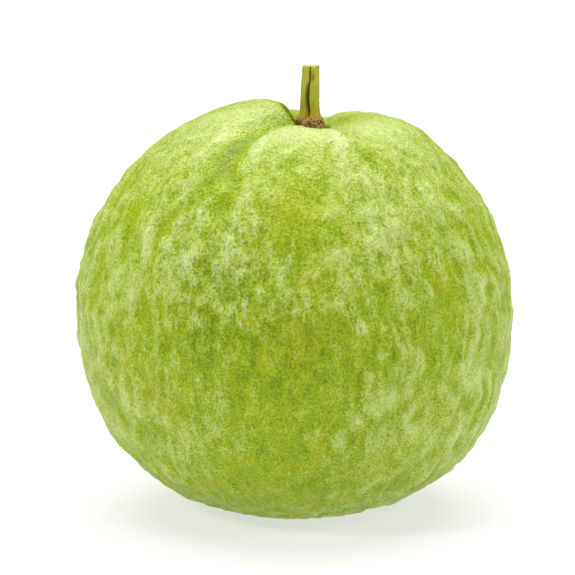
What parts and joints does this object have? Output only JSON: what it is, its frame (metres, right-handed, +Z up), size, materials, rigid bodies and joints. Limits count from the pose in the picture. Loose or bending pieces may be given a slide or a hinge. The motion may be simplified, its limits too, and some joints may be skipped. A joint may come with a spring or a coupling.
{
  "type": "guava",
  "caption": "Whole round green guava with wrinkled skin, a short cut stalk in its lobed crown and a dried calyx in the basin under it, standing on its blossom end.",
  "frame": {"origin": "on the table, under the middle of the fruit, level with the flat patch it stands on", "axes": "+Z up along the fruit's axis towards the stalk, -Y to the front with the deepest furrow on its left, +X to the right, the side the stalk is set towards"},
  "size_m": [0.1, 0.097, 0.1017],
  "materials": {
    "skin": "waxy satin, wrinkled and pitted",
    "stalk": "smooth green bark, with a split and a corky foot",
    "sepal": "dry and papery, matt",
    "dried_flower": "dry and crumbly, matt"
  },
  "bodies": {
    "root": {"fruit_body": "skin", "stem": "stalk", "sepal_1": "sepal", "sepal_2": "sepal", "sepal_3": "sepal", "sepal_4": "sepal", "sepal_5": "sepal", "stamen_ring": "dried_flower", "style_stub": "dried_flower"}
  },
  "joints": []
}
